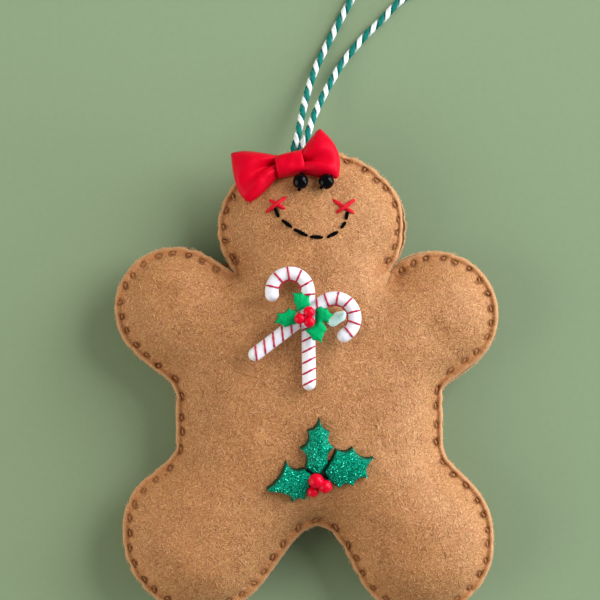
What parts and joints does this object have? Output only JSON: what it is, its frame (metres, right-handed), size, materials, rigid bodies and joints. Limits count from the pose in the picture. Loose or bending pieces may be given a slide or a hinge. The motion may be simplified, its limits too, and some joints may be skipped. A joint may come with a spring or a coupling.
{
  "type": "felt christmas ornament",
  "caption": "Stuffed felt gingerbread figure with a hand-stitched rim, bead eyes, satin bow, clay candy canes, glitter holly and a twine hanging loop.",
  "frame": {"origin": "middle of the footprint of the figure and its bow, on the table that the flat back lies on", "axes": "+Z out of the face, +Y towards the head, +X to the viewer's right"},
  "size_m": [0.0958, 0.1789, 0.0306],
  "materials": {
    "felt_brown": "matt felt",
    "stuffing_white": "loose fibre filling",
    "thread_brown": "sewing thread",
    "thread_black": "stranded floss",
    "thread_red": "stranded floss",
    "twine": "two-ply cotton twine, green and white",
    "satin_red": "satin ribbon",
    "bead_black": "opaque polished glass",
    "cane_white": "baked modelling clay with painted red stripes",
    "leaf_green": "baked modelling clay",
    "glitter_green": "moulded resin with glitter",
    "berry_red": "glossy",
    "hot_glue": "translucent glue"
  },
  "bodies": {
    "figure": {"front_panel": "felt_brown", "back_panel": "felt_brown", "stuffing": "stuffing_white", "seam_thread": "thread_brown", "smile_stitch_1": "thread_black", "smile_stitch_2": "thread_black", "smile_stitch_3": "thread_black", "smile_stitch_4": "thread_black", "smile_stitch_5": "thread_black", "smile_stitch_6": "thread_black", "smile_stitch_7": "thread_black", "left_eye_thread": "thread_black", "right_eye_thread": "thread_black", "left_cheek_under": "thread_red", "left_cheek_over": "thread_red", "right_cheek_under": "thread_red", "right_cheek_over": "thread_red", "loop_anchor": "twine", "bow_left_loop": "satin_red", "bow_right_loop": "satin_red", "bow_knot": "satin_red", "upright_cane": "cane_white", "slanted_cane": "cane_white", "cane_leaf_top": "leaf_green", "cane_leaf_left": "leaf_green", "cane_leaf_right": "leaf_green", "holly_leaf_top": "glitter_green", "holly_leaf_right": "glitter_green", "holly_leaf_left": "glitter_green", "cane_berry_1": "berry_red", "cane_berry_2": "berry_red", "cane_berry_3": "berry_red", "holly_berry_1": "berry_red", "holly_berry_2": "berry_red", "holly_berry_3": "berry_red", "cane_glue": "hot_glue"},
    "loop": {"hanging_loop": "twine"},
    "left_bead": {"left_eye_bead": "bead_black"},
    "right_bead": {"right_eye_bead": "bead_black"}
  },
  "joints": [
    {"name": "loop_flop", "type": "hinge", "parent": "figure", "child": "loop", "pos_m": [-0.00288, 0.05627, 0.00935], "axis": [1, 0, 0], "range_deg": [0, 60]},
    {"name": "left_eye_spin", "type": "hinge", "parent": "figure", "child": "left_bead", "pos_m": [-0.00153, 0.04698, 0.01931], "axis": [0.1736, 0.9848, 0], "continuous": true},
    {"name": "right_eye_spin", "type": "hinge", "parent": "figure", "child": "right_bead", "pos_m": [0.00482, 0.04698, 0.01918], "axis": [0.6691, 0.7431, 0], "continuous": true}
  ]
}
